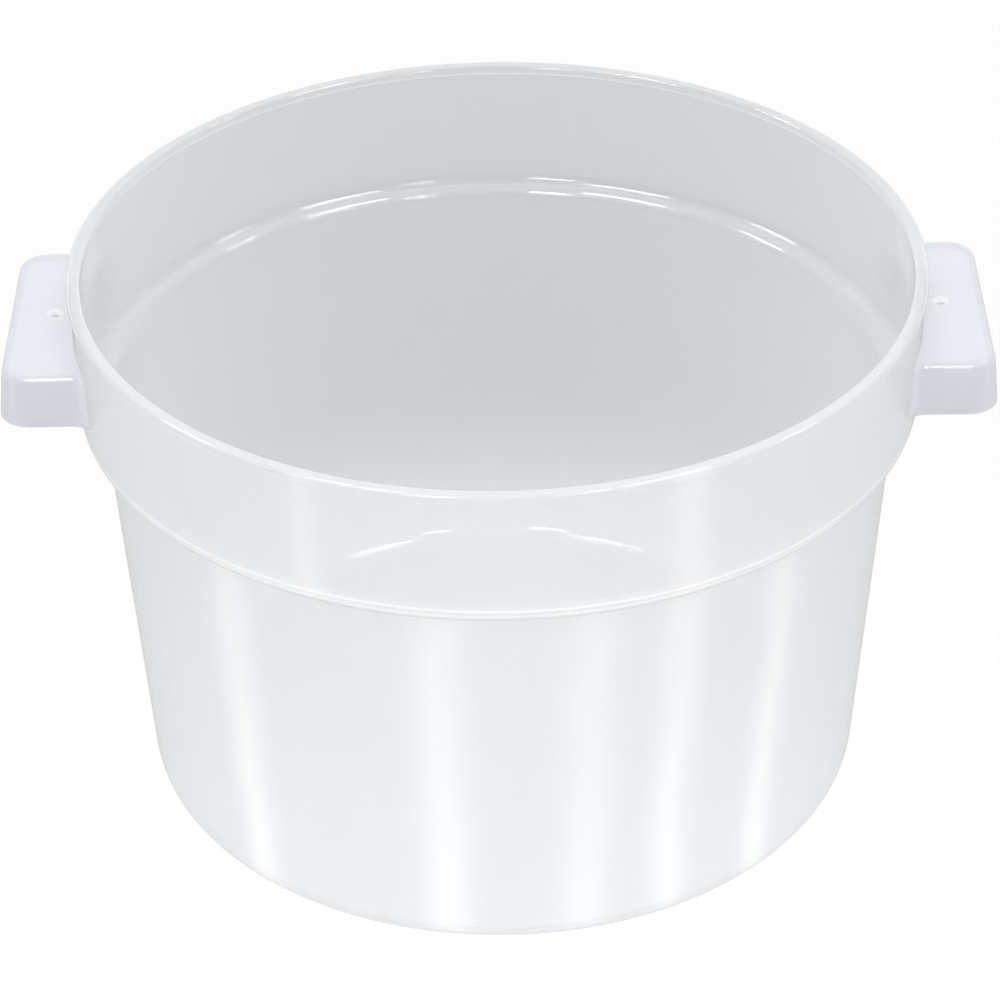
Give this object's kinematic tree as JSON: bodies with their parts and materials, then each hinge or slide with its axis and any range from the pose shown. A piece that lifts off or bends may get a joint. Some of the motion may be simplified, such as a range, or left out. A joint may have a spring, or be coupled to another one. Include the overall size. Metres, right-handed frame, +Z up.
{
  "type": "round food storage tub",
  "caption": "Round translucent plastic tub for proofing dough, with a tapered wall, a wider collar under a beaded rim, and a hollow grip on each side.",
  "frame": {"origin": "centre of the underside, on the surface that the tub stands on", "axes": "+X through the right-hand handle, +Y away from the viewer, +Z up along the tub's axis"},
  "size_m": [0.359, 0.312, 0.21],
  "materials": {
    "natural_polypropylene": "smooth, slightly milky and translucent, as natural polypropylene is"
  },
  "bodies": {
    "root": {"floor": "natural_polypropylene", "base_corner": "natural_polypropylene", "body_wall": "natural_polypropylene", "collar": "natural_polypropylene", "rim_bead": "natural_polypropylene", "left_handle": "natural_polypropylene", "right_handle": "natural_polypropylene"}
  },
  "joints": []
}
